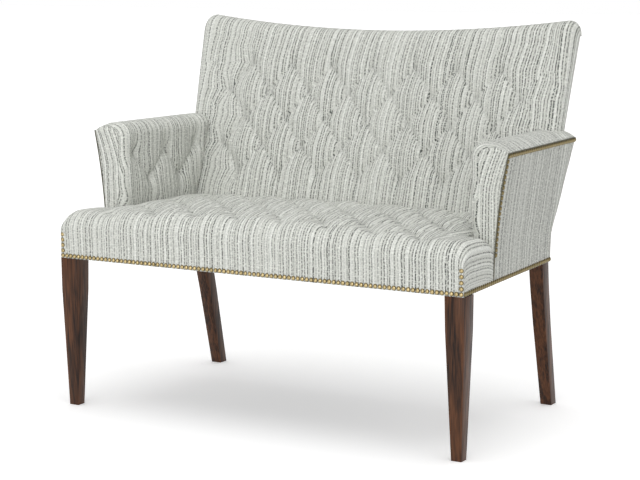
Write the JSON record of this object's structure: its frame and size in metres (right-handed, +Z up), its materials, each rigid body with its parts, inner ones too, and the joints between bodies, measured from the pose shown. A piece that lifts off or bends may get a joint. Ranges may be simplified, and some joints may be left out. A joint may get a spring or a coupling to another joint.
{
  "type": "upholstered bench settee",
  "caption": "Two seat upholstered bench with a raked tufted back, low tufted arms that flare outwards, nail trimmed edges and four tapered wooden legs.",
  "frame": {"origin": "on the floor, below the middle of the body's bounding box", "axes": "+X across the seat to the viewer's right, +Y from the seat's front to the back, +Z up"},
  "size_m": [1.0766, 0.6524, 0.8924],
  "materials": {
    "leg_wood": "dark stained hardwood, satin lacquer",
    "frame_wood": "bare sawn hardwood, inside the upholstery",
    "webbing": "woven jute strap",
    "foam": "cut cushion foam",
    "lining": "thin black lining cloth",
    "cover_fabric": "woven, off white with broken grey stripes, sewn tufts",
    "panel_fabric": "the same striped cloth stretched flat",
    "nail_brass": "aged brass, domed heads"
  },
  "bodies": {
    "root": {"front_left_leg": "leg_wood", "front_right_leg": "leg_wood", "rear_left_leg": "leg_wood", "rear_right_leg": "leg_wood", "front_seat_rail": "frame_wood", "rear_seat_rail": "frame_wood", "left_seat_rail": "frame_wood", "right_seat_rail": "frame_wood", "seat_cross_rail": "frame_wood", "front_left_corner_block": "frame_wood", "front_right_corner_block": "frame_wood", "rear_left_corner_block": "frame_wood", "rear_right_corner_block": "frame_wood", "back_top_rail": "frame_wood", "back_low_rail": "frame_wood", "back_upright": "frame_wood", "left_arm_post": "frame_wood", "right_arm_post": "frame_wood", "left_arm_top_rail": "frame_wood", "right_arm_top_rail": "frame_wood", "left_arm_low_rail": "frame_wood", "right_arm_low_rail": "frame_wood", "seat_straps_deep": "webbing", "seat_straps_wide": "webbing", "back_straps_tall": "webbing", "back_straps_wide": "webbing", "seat_foam": "foam", "back_foam": "foam", "left_arm_foam": "foam", "right_arm_foam": "foam", "left_arm_lining": "lining", "right_arm_lining": "lining", "dust_cover": "lining", "seat_cover": "cover_fabric", "back_cover": "cover_fabric", "left_arm_cover": "cover_fabric", "right_arm_cover": "cover_fabric", "outside_back_panel": "panel_fabric", "left_outside_arm_panel": "panel_fabric", "right_outside_arm_panel": "panel_fabric", "front_nails": "nail_brass", "left_corner_nails": "nail_brass", "right_corner_nails": "nail_brass", "left_side_nails": "nail_brass", "right_side_nails": "nail_brass", "left_arm_nails": "nail_brass", "right_arm_nails": "nail_brass"}
  },
  "joints": []
}
